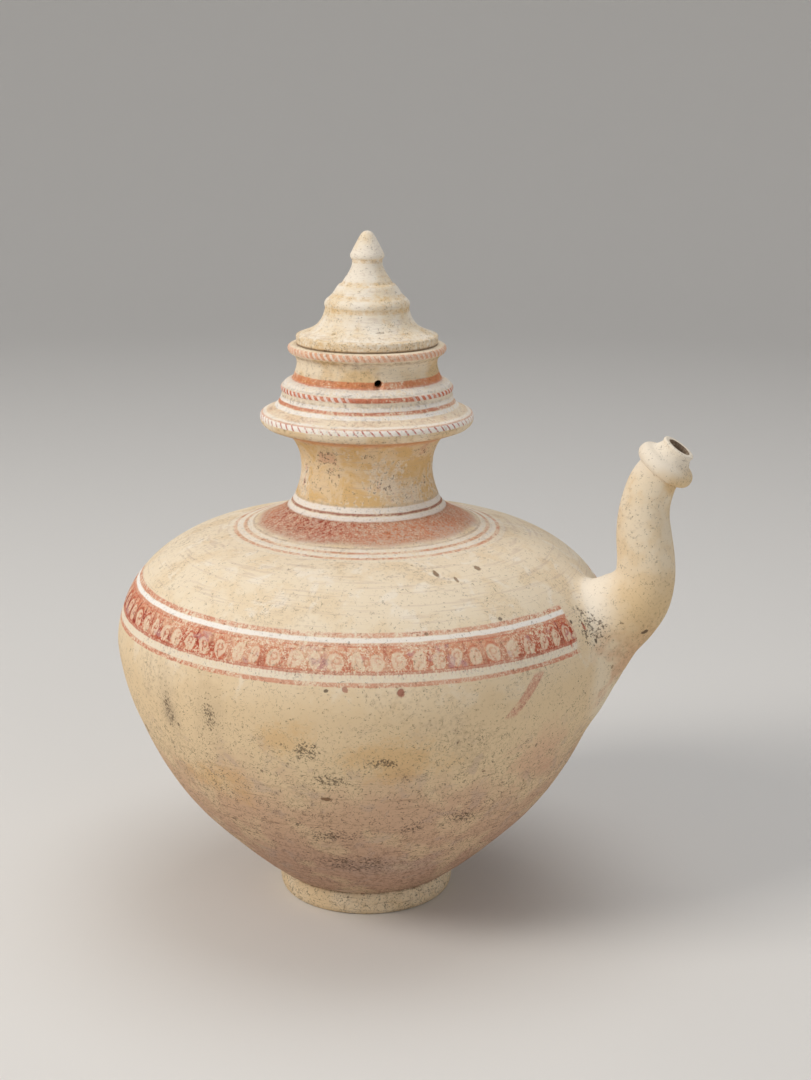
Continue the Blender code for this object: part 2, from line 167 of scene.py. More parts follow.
# Sides crowd towards the spout by this share, so that its seam is finely cut.
CROWDING = 0.3

# Colours of the clay, the slips and the paints, as red, green and blue out of 255.
CREAM = (236, 220, 194)
PALE = (241, 231, 215)
WHITE = (247, 242, 236)
SAND = (228, 203, 165)
OCHRE = (222, 188, 134)
GOLDEN = (216, 174, 116)
CLAY = (209, 174, 144)
PINK_CLAY = (192, 154, 134)
GREY_CLAY = (166, 146, 122)
DIRT = (122, 90, 62)
DARK = (62, 46, 36)
RED = (186, 80, 56)
DEEP_RED = (146, 50, 40)
ORANGE = (214, 122, 76)
ROSE = (208, 148, 126)
GREY_ROSE = (188, 164, 150)
BRICK = (202, 98, 64)
LILAC = (190, 150, 158)

# Painted rings by height in millimetres: low, high, colour, strength, and how much is worn away.
HEIGHT_RINGS = (
    (311.9, 316.2, WHITE, 0.75, 0.35),
    (315.4, 319.4, ORANGE, 0.8, 0.3),
    (306.6, 309, PALE, 0.6, 0.3),
    (303.9, 306.3, WHITE, 0.85, 0.3),
    (302.1, 303.9, BRICK, 0.75, 0.35),
    (299.8, 301.8, WHITE, 0.85, 0.3),
    (297.2, 299.6, ROSE, 0.3, 0.5),
    (296.1, 297.1, WHITE, 0.6, 0.3),
    (295.2, 296.2, ROSE, 0.75, 0.35),
    (244.2, 247.2, WHITE, 0.85, 0.25),
    (242.9, 244.1, DEEP_RED, 0.75, 0.3),
    (240.2, 242.6, WHITE, 0.85, 0.25),
)

# Painted rings on the shoulder by radius in millimetres, in the same form.
SHOULDER_RINGS = (
    (66.1, 67.3, GREY_ROSE, 0.6, 0.4),
    (67.6, 70.3, WHITE, 0.55, 0.35),
    (70.6, 72.5, BRICK, 0.6, 0.45),
    (73, 76.3, WHITE, 0.6, 0.35),
    (76.6, 78.7, BRICK, 0.6, 0.45),
    (79.2, 82, PALE, 0.5, 0.35),
)

# Painted rings of the belly's band by height in millimetres, in the same form.
BAND_RINGS = (
    (198.9, 201, BRICK, 0.72, 0.42),
    (196.6, 198.7, WHITE, 0.95, 0.12),
    (194.6, 196.5, BRICK, 0.72, 0.36),
    (181.4, 183.2, RED, 0.8, 0.3),
    (177.7, 181.2, PALE, 0.6, 0.35),
    (175.2, 177.5, BRICK, 0.76, 0.36),
)

# The belly's frieze: where it stands, how many lobes go round, the radius there, and a lobe's middle.
FRIEZE_LOW = 183.2
FRIEZE_HIGH = 194.8
FRIEZE_LOBES = 80
FRIEZE_RADIUS = 143
LOBE_MIDDLE = 187.6

# The band and the frieze stop at this azimuth on either side of the spout, in degrees.
BAND_END = 17.8

# Marks on the body: azimuth in degrees, height, half width, half height in millimetres, colour, strength.
MARKS = (
    (-64.7, 172.3, 2.3, 2.6, DEEP_RED, 0.75),
    (-76.2, 174.1, 1.7, 1.6, DEEP_RED, 0.6),
    (-18.6, 188.2, 1.6, 1.5, RED, 0.8),
    (-19.9, 181.9, 1, 2.4, RED, 0.7),
    (-13.2, 187.3, 0.9, 2.3, RED, 0.75),
    (-17.1, 191.6, 1.2, 1.1, DARK, 0.8),
    (-4.5, 181.3, 1.6, 1.4, DARK, 0.8),
    (-49.2, 222.1, 1.5, 1.1, DIRT, 0.8),
    (-33.6, 221.9, 2.1, 0.9, DIRT, 0.75),
    (-44.2, 219.6, 1.1, 1.1, DIRT, 0.7),
    (-38.5, 202.1, 1.4, 1, DARK, 0.7),
    (-58.1, 199.7, 1.2, 0.8, DIRT, 0.7),
    (-80.2, 173.2, 1.4, 1, DARK, 0.75),
    (-81.2, 106.2, 3.6, 1.4, DIRT, 0.85),
    (-96, 121, 0.9, 1.2, DARK, 0.5),
    (-52, 141, 0.8, 0.8, DARK, 0.5),
    (-44, 119, 1.2, 0.8, DIRT, 0.6),
    (-118, 138, 1, 1.4, DARK, 0.6),
    (-30, 128, 0.8, 1.2, DARK, 0.5),
    (-11.7, 178.5, 0.8, 1.4, DARK, 0.6),
    (-7.8, 161.2, 1, 1.4, DIRT, 0.6),
    (60, 150, 2.6, 4, DIRT, 0.7),
    (105, 184, 1.6, 3.6, DARK, 0.7),
    (152, 166, 2, 2.6, DARK, 0.6),
    (-140, 118, 2.2, 3, DIRT, 0.7),
)

# Broad stains on the body, in the same form.
STAINS = (
    (-90.6, 142, 20, 12, GOLDEN, 0.5),
    (-66, 134, 30, 12, GOLDEN, 0.55),
    (-112, 108, 24, 12, GOLDEN, 0.5),
    (-120.5, 147, 9, 18, GREY_CLAY, 0.5),
    (-107, 150, 12, 20, GREY_CLAY, 0.22),
    (-45, 152, 26, 12, SAND, 0.4),
    (-28, 120, 22, 18, ROSE, 0.3),
    (-60, 48, 30, 9, GREY_ROSE, 0.4),
    (-22, 146, 18, 16, SAND, 0.5),
    (40, 140, 26, 15, GOLDEN, 0.45),
    (120, 130, 24, 18, GREY_CLAY, 0.45),
    (170, 150, 22, 14, GOLDEN, 0.45),
)

# Clusters of dark specks on the body: azimuth in degrees, height, half width and half height.
SPECKLED = (
    (-107.5, 150, 7, 15),
    (-120.5, 147, 7, 17),
    (-84.7, 137.4, 11, 9),
    (-68, 131, 12, 5),
    (-80, 119, 15, 6),
    (-12, 186, 11, 16),
    (-46, 88, 14, 8),
    (-60, 83, 10, 5),
    (-80, 78, 22, 6),
    (-76, 52, 34, 12),
    (85, 150, 18, 9),
    (160, 120, 20, 14),
)

# Corners of the form darkened with painted shade, in the dirt colour: low, high, strength.
CREVICES = (
    (13.6, 15.6, 0.5),
    (239.4, 240.4, 0.3),
    (247.2, 248.4, 0.25),
    (285, 288.6, 0.25),
    (305.6, 307.4, 0.22),
    (312, 312.8, 0.35),
    (328.4, 330.6, 0.35),
)

# The lid's steps, where ochre dirt has stayed, in the same form.
LID_CREVICES = (
    (335, 341.4, 0.6),
    (354.6, 357.4, 0.55),
    (362, 364.4, 0.5),
    (369.2, 371.6, 0.5),
    (382, 384.6, 0.55),
    (341.8, 344.6, 0.25),
)

# Paint on the rope edges: low, high, nicks, colour, colour of the strokes, and how much of them is worn.
ROPE_PAINT = (
    (292.6, 295.6, FLANGE_NICKS, WHITE, RED, 0.4),
    (308.9, 311.6, BEAD_NICKS, BRICK, WHITE, 0.3),
    (331.2, 334.9, BEAD_NICKS, ORANGE, PALE, 0.4),
)

# The camera of the photograph.
CAMERA_AT = (0.3383, -1.0280, 0.4962)
CAMERA_PITCH = radians(75.58)
CAMERA_TURN = radians(17)
CAMERA_ROLL = radians(0.39)
CAMERA_LENS = 62.7
CAMERA_SENSOR = 36

# The floor: how far it is flat, the radius at which it curves up, and its top, in millimetres.
FLOOR_FLAT = 2400
FLOOR_CURVE = 1600
FLOOR_TOP = 4200


def smooth_run(points, step):
    """Points along the smooth curve through the given ones, each stretch cut into about equal steps."""
    given = np.array(points, float)
    gap = np.sqrt(np.linalg.norm(np.diff(given, axis=0), axis=1))[:, None]
    slope = np.diff(given, axis=0) / gap
    lean = np.empty_like(given)
    lean[0] = slope[0]
    lean[-1] = slope[-1]
    lean[1:-1] = (gap[1:] * slope[:-1] + gap[:-1] * slope[1:]) / (gap[1:] + gap[:-1])
    stretches = []
    for i in range(len(gap)):
        count = max(1, ceil(np.linalg.norm(given[i + 1] - given[i]) / step))
        t = (np.arange(count) / count)[:, None]
        start = (2 * t**3 - 3 * t**2 + 1) * given[i] + (t**3 - 2 * t**2 + t) * gap[i] * lean[i]
        end = (3 * t**2 - 2 * t**3) * given[i + 1] + (t**3 - t**2) * gap[i] * lean[i + 1]
        stretches.append(start + end)
    return np.vstack([*stretches, given[-1:]])


def rows_of(*runs):
    """The rows of a turned shape, as (radius, height, sides), from runs of (points, step, sides)."""
    rows = []
    for points, step, sides in runs:
        for radius, height in smooth_run(points, step):
            if rows and abs(rows[-1][0] - radius) + abs(rows[-1][1] - height) < 0.0001:
                rows[-1] = (radius, height, max(rows[-1][2], sides))
            else:
                rows.append((radius, height, sides))
    return rows


def ring_faces(low, high, low_count, high_count):
    """Faces between two rings of vertices that start at low and high. One may have twice the sides."""
    faces = []
    for j in range(min(c for c in (low_count, high_count) if c > 1)):
        if low_count == 1:
            faces.append((low, high + (j + 1) % high_count, high + j))
        elif high_count == 1:
            faces.append((low + j, low + (j + 1) % low_count, high))
        elif low_count == high_count:
            after = (j + 1) % low_count
            faces.append((low + j, low + after, high + after, high + j))
        elif low_count < high_count:
            a, b = low + j, low + (j + 1) % low_count
            c, d, e = high + 2 * j, high + 2 * j + 1, high + (2 * j + 2) % high_count
            faces += [(a, d, c), (a, b, d), (b, e, d)]
        else:
            a, b, c = low + 2 * j, low + 2 * j + 1, low + (2 * j + 2) % low_count
            d, e = high + j, high + (j + 1) % high_count
            faces += [(a, b, d), (b, e, d), (b, c, e)]
    return faces


def turned(rows):
    """Vertices in metres and faces of a closed turned shape, from rows listed up along its outside."""
    verts, faces, starts = [], [], []
    for radius, height, sides in rows:
        count = 1 if radius < 0.001 else sides
        starts.append((len(verts), count))
        for j in range(count):
            around = 2 * pi * j / count
            around -= CROWDING * sin(around)
            verts.append((radius * MM * cos(around), radius * MM * sin(around), height * MM))
    for (low, low_count), (high, high_count) in zip(starts, starts[1:]):
        faces += ring_faces(low, high, low_count, high_count)
    return verts, faces


def tube(route, sides):
    """Vertices and faces of a closed tube along points of (x, height, radius), in millimetres."""
    route = np.array(route)
    along = np.gradient(route[:, :2], axis=0)
    along /= np.linalg.norm(along, axis=1)[:, None]
    verts, faces = [], []
    for (x, z, radius), (ax, az) in zip(route * MM, along):
        for j in range(sides):
            turn = 2 * pi * j / sides
            out = radius * cos(turn)
            verts.append((x + out * az, radius * sin(turn), z - out * ax))
    for i in range(len(route) - 1):
        faces += ring_faces(i * sides, (i + 1) * sides, sides, sides)
    last = (len(route) - 1) * sides
    faces.append(tuple(range(sides))[::-1])
    faces.append(tuple(range(last, last + sides)))
    return verts, faces


def solid(name, shape):
    """A mesh object from vertices and faces."""
    mesh = bpy.data.meshes.new(name)
    mesh.from_pydata(shape[0], [], shape[1])
    mesh.update()
    made = bpy.data.objects.new(name, mesh)
    bpy.context.scene.collection.objects.link(made)
    return made


def combine(target, other, operation):
    """Joins the other solid to the target or cuts it away, and removes it."""
    modifier = target.modifiers.new(operation, "BOOLEAN")
    modifier.operation = operation
    modifier.solver = "MANIFOLD"
    modifier.object = other
    whole = target.evaluated_get(bpy.context.evaluated_depsgraph_get())
    mesh = bpy.data.meshes.new_from_object(whole)
    target.modifiers.clear()
    target.data = mesh
    bpy.data.objects.remove(other)


def places(mesh):
    """The mesh's vertices as an array, in metres."""
    flat = np.empty(len(mesh.vertices) * 3)
    mesh.vertices.foreach_get("co", flat)
    return flat.reshape(-1, 3)


def put(mesh, points):
    """Moves the mesh's vertices to the given points."""
    mesh.vertices.foreach_set("co", points.ravel())
    mesh.update()


def handmade(points, rope):
    """Points drawn slightly inwards, unevenly, as by hand. With rope, its edges also get their nicks."""
    moved = points.copy()
    for k, (x, y, z) in enumerate(points):
        radius = (x * x + y * y) ** 0.5
        if radius < 0.002 or z < 0.0004:
            continue
        broad = noise.noise(Vector((x * 14, y * 14, z * 14)))
        throwing = noise.noise(Vector((x * 5, y * 5, z * 260)))
        fine = noise.noise(Vector((x * 90, y * 90, z * 130)))
        inward = UNEVEN * (0.45 + 0.4 * broad + 0.25 * throwing + 0.12 * fine)
        if rope:
            around = np.arctan2(y, x)
            for low, high, count in NICKED_EDGES:
                if low < z < high:
                    share = sin(pi * (z - low) / (high - low))
                    nick = max(0, cos(count * around + NICK_LEAN * z)) ** 3
                    inward += NICK_DEPTH * share * nick * (0.7 + 0.6 * broad)
        inward = max(0, inward)
        moved[k, 0] -= inward * x / radius
        moved[k, 1] -= inward * y / radius
    return moved


def spout_route(step):
    """The spout's middle line with its radius, in millimetres, cut finely."""
    return smooth_run(SPOUT_LINE, step)


def head_point(along):
    """The point on the head's axis at this distance from the middle of its flange, in millimetres."""
    return HEAD_AT[0] + along * sin(HEAD_TILT), HEAD_AT[1] + along * cos(HEAD_TILT)


def turned_distance(points, rows):
    """Signed distance to the turned outline, and its outward direction, at each point. In metres."""
    line = np.array([(r, z) for r, z, _ in rows]) * MM
    along = np.gradient(line, axis=0)
    along /= np.linalg.norm(along, axis=1)[:, None]
    normal = np.stack([along[:, 1], -along[:, 0]], axis=1)
    radius = np.hypot(points[:, 0], points[:, 1])
    flat = np.stack([radius, points[:, 2]], axis=1)
    near = np.argmin(((flat[:, None] - line[None]) ** 2).sum(axis=2), axis=1)
    away = ((flat - line[near]) * normal[near]).sum(axis=1)
    out = np.stack([
        normal[near, 0] * points[:, 0] / radius,
        normal[near, 0] * points[:, 1] / radius,
        normal[near, 1],
    ], axis=1)
    return away, out


def tube_distance(points, route):
    """Signed distance to the spout's outside, and its outward direction, at each point. In metres."""
    middle = np.stack([route[:, 0], np.zeros(len(route)), route[:, 1]], axis=1) * MM
    near = np.argmin(((points[:, None] - middle[None]) ** 2).sum(axis=2), axis=1)
    offset = points - middle[near]
    length = np.linalg.norm(offset, axis=1)
    return length - route[near, 2] * MM, offset / length[:, None]


def blend_root(mesh, outside):
    """Softens the corner where the spout grows out of the belly."""
    points = places(mesh)
    route = spout_route(0.8)
    wide = (points[:, 0] > 0.085) & (np.abs(points[:, 1]) < 0.08)
    wide &= (points[:, 2] > 0.09) & (points[:, 2] < 0.3)
    picked = np.nonzero(wide)[0]
    body, _ = turned_distance(points[picked], outside)
    pipe, _ = tube_distance(points[picked], route)
    skin = np.minimum(np.abs(body), np.abs(pipe)) < ON_SKIN
    skin &= (body > -2 * ON_SKIN) & (pipe > -2 * ON_SKIN) & (points[picked, 2] < 0.225)
    picked = picked[skin]
    moved = points[picked]
    share = np.clip((moved[:, 2] - 0.15) / 0.055, 0, 1)
    blend = UNDER_BLEND + (SADDLE_BLEND - UNDER_BLEND) * share
    for _ in range(BLEND_PASSES):
        body, body_out = turned_distance(moved, outside)
        pipe, pipe_out = tube_distance(moved, route)
        both = np.maximum(blend - np.abs(body - pipe), 0) / blend
        field = np.minimum(body, pipe) - both**2 * blend / 4
        weight = np.where(body < pipe, 1 - both / 2, both / 2)[:, None]
        slope = weight * body_out + (1 - weight) * pipe_out
        moved = moved - slope * (field / np.maximum((slope**2).sum(axis=1), 0.2))[:, None]
    points[picked] = moved
    put(mesh, points)


def mark_parts(mesh, outside):
    """Marks how much of each point is spout and how much is inside a hollow, for the paint to follow."""
    points = places(mesh)
    line = np.array([(z, r) for r, z, _ in outside if z > 0.5]) * MM
    radius = np.hypot(points[:, 0], points[:, 1])
    depth = np.interp(points[:, 2], line[:, 0], line[:, 1]) - radius
    hollow = ((depth > 0.003) & (points[:, 2] > 0.012)).astype(float)
    out = np.nonzero(depth < -ON_SKIN)[0]
    on_spout = np.zeros(len(points))
    on_spout[out] = np.clip((-depth[out] - ON_SKIN) / 0.005, 0, 1)
    mouth = [(*head_point(along), 9.8) for along in (1, 3, 5, 7, 9, 11, 13)]
    near = np.nonzero(points[:, 0] > 0.125)[0]
    pipe, _ = tube_distance(points[near], np.vstack([spout_route(2), mouth]))
    hollow[near] = (pipe < -0.0024).astype(float)
    for name, values in (("on_spout", on_spout), ("hollow", hollow)):
        mark = mesh.attributes.new(name, "FLOAT", "POINT")
        mark.data.foreach_set("value", values)


def join_close(mesh):
    """Joins stray close vertices."""
    work = bmesh.new()
    work.from_mesh(mesh)
    bmesh.ops.remove_doubles(work, verts=work.verts, dist=JOINED)
    work.to_mesh(mesh)
    work.free()


def shade(mesh, corner):
    """Shades the mesh smooth, and keeps edges sharper than the corner angle crisp."""
    mesh.shade_smooth()
    mesh.set_sharp_from_angle(angle=corner)


def build_vessel():
    """The whole vessel: turned body, spout with its head, cavity, bore and the collar's small hole."""
    belly = LOWER_BELLY + SHOULDER[1:] + NECK[1:]
    outside = rows_of(
        (UNDERSIDE, 8, SIDES), (FOOT_SIDE, 1.6, SIDES), (belly, 3, SIDES), (FLANGE_EDGE, 0.7, ROPE_SIDES),
        (FLANGE_TOP, 1.1, SIDES), (BEAD, 0.7, ROPE_SIDES), (FILLET, 0.9, SIDES), (COLLAR, 1.1, SIDES),
        (RIM, 0.7, ROPE_SIDES), (RIM_TOP, 3, SIDES), (CLOSING, 12, SIDES),
    )
    verts, faces = turned(outside)
    vessel = solid("vessel_clay_body", (handmade(np.array(verts), True), faces))
    combine(vessel, solid("spout", tube(spout_route(1.7), SPOUT_SIDES)), "UNION")
    head_rows = [(r, h, SPOUT_SIDES) for r, h in smooth_run(HEAD_FLANGE[1:], 0.9)]
    head_rows += [(r, h, SPOUT_SIDES) for r, h in smooth_run(MOUTHPIECE[:-1], 0.9)[1:]]
    head_rows = [(*HEAD_FLANGE[0], 1), *head_rows, (*MOUTHPIECE[-1], 1)]
    head = solid("head", turned(head_rows))
    place = Matrix.Translation((HEAD_AT[0] * MM, 0, HEAD_AT[1] * MM)) @ Matrix.Rotation(HEAD_TILT, 4, "Y")
    head.data.transform(place)
    combine(vessel, head, "UNION")
    join_close(vessel.data)
    fine = [(r, z, 0) for r, z in smooth_run(belly, 0.5)]
    blend_root(vessel.data, fine)

    cavity = [(r, z, INNER_SIDES) for r, z in smooth_run(CAVITY[:3], 12)]
    cavity += [(r, z, INNER_SIDES) for r, z in smooth_run(CAVITY[2:20], 6)[1:]]
    cavity += [(r, z, INNER_SIDES) for r, z in CAVITY[20:]]
    combine(vessel, solid("cavity", turned(cavity)), "DIFFERENCE")
    inside = [(x, z, max(r - SPOUT_WALL, SPOUT_BORE)) for x, z, r in spout_route(4)]
    inside.append((*head_point(MOUTH_REACH), SPOUT_BORE))
    combine(vessel, solid("bore", tube(inside, BORE_SIDES)), "DIFFERENCE")
    drill = solid("drill", turned([(r, z, HOLE_SIDES) for r, z in HOLE]))
    lie = Matrix.Rotation(HOLE_AZIMUTH, 4, "Z") @ Matrix.Rotation(pi / 2, 4, "Y")
    drill.data.transform(Matrix.Translation((0, 0, HOLE_HEIGHT * MM)) @ lie)
    combine(vessel, drill, "DIFFERENCE")
    mark_parts(vessel.data, outside)
    shade(vessel.data, VESSEL_CORNER)
    return vessel


def build_lid():
    """The lid, with its hollow and locating ring underneath."""
    rows = rows_of(
        (LID_HOLLOW, 3, SIDES), (LID_RING, 3, SIDES), (LID_SEAT, 2, SIDES), (LID_EDGE, 0.6, SIDES),
        (LID_FLARE, 0.9, SIDES), (LID_ROLL, 0.6, SIDES), (LID_DOME, 0.8, SIDES), (LEDGE, 0.7, SIDES),
        (STEM, 0.9, SIDES), (FINIAL_FOOT, 0.6, SIDES), (FINIAL, 0.7, SIDES),
    )
    verts, faces = turned(rows)
    points = np.array(verts)
    shaped = handmade(points, False)
    keep = (points[:, 2] > 0.3357) & (points[:, 2] < 0.3995)
    shaped[~keep] = points[~keep]
    lid = solid("lid_clay_body", (shaped, faces))
    shade(lid.data, LID_CORNER)
    return lid


def linear(colour):
    """A colour given out of 255, as the renderer's linear colour."""
    shares = [c / 255 for c in colour]
    return (*(s / 12.92 if s < 0.04 else ((s + 0.055) / 1.055) ** 2.4 for s in shares), 1)


class Wire:
    """A value in a material. Arithmetic on it adds the nodes that work it out."""

    def __init__(self, socket):
        self.socket = socket

    def add(self, kind, **settings):
        made = self.socket.id_data.nodes.new(kind)
        for name, value in settings.items():
            setattr(made, name, value)
        return made

    def calc(self, operation, *others):
        made = self.add("ShaderNodeMath", operation=operation)
        for slot, value in zip(made.inputs, (self, *others)):
            feed(slot, value)
        return Wire(made.outputs[0])

    def __add__(self, other):
        return self.calc("ADD", other)

    def __sub__(self, other):
        return self.calc("SUBTRACT", other)

    def __mul__(self, other):
        return self.calc("MULTIPLY", other)

    def __truediv__(self, other):
        return self.calc("DIVIDE", other)

    def size(self):
        return self.calc("ABSOLUTE")

    def step(self, start, end):
        """A soft step from 0 at start to 1 at end. With end below start it falls instead."""
        made = self.add("ShaderNodeMapRange", interpolation_type="SMOOTHSTEP")
        feed(made.inputs[0], self)
        feed(made.inputs[1], start)
        feed(made.inputs[2], end)
        return Wire(made.outputs[0])

    def band(self, low, high, soft):
        """1 between low and high and 0 outside, with soft edges."""
        return self.step(low - soft, low + soft) * self.step(high + soft, high - soft)


def feed(slot, value):
    """Sets a node's input to a wire or to a plain value."""
    if isinstance(value, Wire):
        slot.id_data.links.new(value.socket, slot)
    else:
        slot.default_value = value


def vector(x, y, z):
    """Three wires as one vector."""
    made = x.add("ShaderNodeCombineXYZ")
    for slot, value in zip(made.inputs, (x, y, z)):
        feed(slot, value)
    return Wire(made.outputs[0])


def clouds(at, scale, detail=4, rough=0.55, twist=0):
    """Soft noise about 0.5, at so many lumps to a unit."""
    made = at.add("ShaderNodeTexNoise")
    feed(made.inputs["Vector"], at)
    feed(made.inputs["Scale"], scale)
    feed(made.inputs["Detail"], detail)
    feed(made.inputs["Roughness"], rough)
    feed(made.inputs["Distortion"], twist)
    return Wire(made.outputs[0])


def cells(at, scale):
    """Distance to the nearest of scattered points, and a value that differs from point to point."""
    made = at.add("ShaderNodeTexVoronoi")
    feed(made.inputs["Vector"], at)
    feed(made.inputs["Scale"], scale)
    parts = at.add("ShaderNodeSeparateColor")
    feed(parts.inputs[0], Wire(made.outputs["Color"]))
    return Wire(made.outputs["Distance"]), Wire(parts.outputs[0])


def mixed(under, over, share):
    """One colour laid over another by a share. Each is a wire or a colour out of 255."""
    made = share.add("ShaderNodeMix", data_type="RGBA", blend_type="MIX")
    feed(made.inputs[0], share)
    feed(made.inputs[6], under if isinstance(under, Wire) else linear(under))
    feed(made.inputs[7], over if isinstance(over, Wire) else linear(over))
    return Wire(made.outputs[2])


class Ground:
    """A new clay material, with the coordinates and noises that its layers share, in millimetres."""

    def __init__(self, name):
        self.material = bpy.data.materials.new(name)
        self.material.use_nodes = True
        tree = self.material.node_tree
        self.shader = tree.nodes["Principled BSDF"]
        self.local = tree.nodes.new("ShaderNodeTexCoord").outputs["Object"]
        scaled = tree.nodes.new("ShaderNodeVectorMath")
        scaled.operation = "SCALE"
        scaled.inputs[3].default_value = 1000
        tree.links.new(self.local, scaled.inputs[0])
        parts = tree.nodes.new("ShaderNodeSeparateXYZ")
        tree.links.new(scaled.outputs[0], parts.inputs[0])
        self.at = Wire(scaled.outputs[0])
        self.x, self.y, self.z = (Wire(s) for s in parts.outputs)
        self.radius = (self.x * self.x + self.y * self.y).calc("SQRT")
        self.turn = self.y.calc("ARCTAN2", self.x)
        self.degrees = self.turn * (180 / pi)
        side = self.radius.calc("MAXIMUM", 1)
        self.wheel = vector(self.x / side * 3, self.y / side * 3, self.z * 0.9)
        self.fine = clouds(self.at, 1.1, 5, 0.65)
        self.grain = clouds(self.at, 0.42, 4, 0.6)
        self.broad = clouds(self.at, 0.045, 4, 0.55)
        self.wide = clouds(self.at, 0.016, 3, 0.5)
        self.patches = clouds(self.at, 0.065, 5, 0.6, 0.6)
        self.brush = clouds(self.wheel, 1.3, 5, 0.6)
        self.wobble = (clouds(self.at, 0.12, 3, 0.6) - 0.5) * 1.6 + (self.grain - 0.5) * 0.9

    def kept(self, worn):
        """Where paint has stayed on. The share that is worn away goes from 0 to 1."""
        mottle = self.fine * 0.5 + self.grain * 0.3 + self.broad * 0.25
        edge = 0.36 + 0.36 * worn
        return mottle.step(edge - 0.07, edge + 0.07)

    def oval(self, azimuth, height, half_width, half_height, body_radius):
        """Distance from a mark on the turned surface, 1 at its edge."""
        across = (self.degrees - azimuth) * (pi / 180 * body_radius / half_width)
        up = (self.z - height) / half_height
        return (across * across + up * up).calc("SQRT")


def radius_at(height):
    """The body's radius at a height on the belly, in millimetres."""
    line = np.array(LOWER_BELLY + SHOULDER[1:])
    return float(np.interp(height, line[:, 1], line[:, 0]))


def rings(ground, colour, across, given, allowed):
    """Paints rings of a table over a colour."""
    for low, high, paint, strength, worn in given:
        line = (across + ground.wobble * 0.5).band(low, high, 0.32)
        share = line * ground.kept(worn) * allowed * strength
        colour = mixed(colour, paint, share)
    return colour


def frieze(ground, colour, allowed, fade):
    """The band of rounded lobes with a small curl in each and pointed leaves between them."""
    cell = ground.turn * (FRIEZE_LOBES / (2 * pi)) + (ground.broad - 0.5) * 1.1
    number = cell.calc("FLOOR")
    luck = cell.add("ShaderNodeTexWhiteNoise", noise_dimensions="1D")
    feed(luck.inputs["W"], number)
    luck = Wire(luck.outputs[0])
    across = (cell - number - 0.5) * (2 * pi * FRIEZE_RADIUS / FRIEZE_LOBES) + ground.wobble * 0.55
    up = ground.z - LOBE_MIDDLE + ground.wobble * 0.35 + (luck - 0.5) * 0.9
    lobe = across * across / 17.6 + up * up / 25
    lobe = lobe.calc("SQRT")
    outline = (lobe - 1).size().step(0.24, 0.08)
    eye_x = across - 0.7 - (luck - 0.5) * 1.2
    eye_y = up - 0.9
    eye = (eye_x * eye_x + eye_y * eye_y).calc("SQRT")
    ring = (eye - 1.5).size().step(0.75, 0.25)
    stalk = (across + 0.9 + up * 0.16).size().step(0.75, 0.3) * up.step(0.6, -0.6)
    leaf_width = (up * -0.16 + 1.5).calc("MAXIMUM", 0)
    leaf = across.size().calc("MULTIPLY_ADD", -1, pi * FRIEZE_RADIUS / FRIEZE_LOBES)
    leaf = (leaf - leaf_width).step(0.45, -0.35)
    inside = ground.z.band(FRIEZE_LOW - 0.4, FRIEZE_HIGH + 0.3, 0.4) * allowed
    worn = ground.kept(0.36)
    patchy = clouds(ground.at, 0.07, 3, 0.6).step(0.38, 0.58) * 0.6 + 0.4
    strength = fade * patchy * worn * inside
    wash = ground.kept(0.34) * inside * (patchy * 0.5 + 0.5) * (fade * 0.5 + 0.5)
    colour = mixed(colour, mixed(ORANGE, BRICK, fade * patchy), wash * 0.92)
    colour = mixed(colour, CREAM, lobe.step(1.02, 0.82) * inside * ground.kept(0.3) * 0.62)
    flecks = (clouds(ground.at, 0.9, 3, 0.7) + (ground.grain - 0.5) * 0.4).step(0.52, 0.6)
    colour = mixed(colour, SAND, flecks * inside * 0.5)
    tone = mixed(ORANGE, RED, patchy * fade)
    lines = outline.calc("MAXIMUM", ring).calc("MAXIMUM", stalk)
    colour = mixed(colour, tone, lines * strength * 0.9)
    tone = mixed(RED, DEEP_RED, ground.broad.step(0.4, 0.56) * fade)
    colour = mixed(colour, tone, leaf * strength)
    violet = clouds(ground.at, 0.09, 2).step(0.58, 0.66) * ground.kept(0.4)
    colour = mixed(colour, LILAC, violet * inside * 0.5)
    comb_cell = ground.turn * (FRIEZE_LOBES * 2.5 / pi) + ground.wobble * 0.3
    comb = comb_cell.calc("FRACT").band(0.3, 0.62, 0.12)
    comb = comb * ground.z.band(179.7, 181.8, 0.35) * allowed * ground.kept(0.45)
    return mixed(colour, RED, comb * 0.55)


def clay_layers(ground, colour, height, soiled):
    """Hairlines, specks and grain over everything, more where soiled: the new colour and height."""
    hair_noise = clouds(ground.at, 0.22, 2, 0.6, 0.9)
    broken = ground.fine.step(0.45, 0.55) * (ground.grain + soiled * 0.12).step(0.48, 0.57)
    hair = (hair_noise - 0.5).size().step(0.025, 0.009) * broken
    second = (clouds(ground.at, 0.13, 2, 0.6, 0.9) - 0.5).size().step(0.014, 0.005)
    second = second * (ground.fine + soiled * 0.05).step(0.5, 0.55)
    hair = hair.calc("MAXIMUM", second * (ground.broad + soiled * 0.1).step(0.5, 0.62))
    near, luck = cells(ground.at, 0.42)
    speck = near.step(0.16, 0.09) * luck.step(0.8, 0.84)
    tiny, tiny_luck = cells(ground.at, 0.95)
    dots = tiny.step(0.17, 0.1) * tiny_luck.step(0.78, 0.84) * ground.broad.step(0.44, 0.56)
    colour = mixed(colour, DARK, hair * (soiled * 0.28 + 0.5))
    colour = mixed(colour, DIRT, speck * 0.6)
    colour = mixed(colour, DARK, dots * 0.5)
    height = height - speck * 0.14 - hair * 0.06
    height = height + (ground.fine - 0.5) * 0.1 + (ground.grain - 0.5) * 0.08
    return colour, height


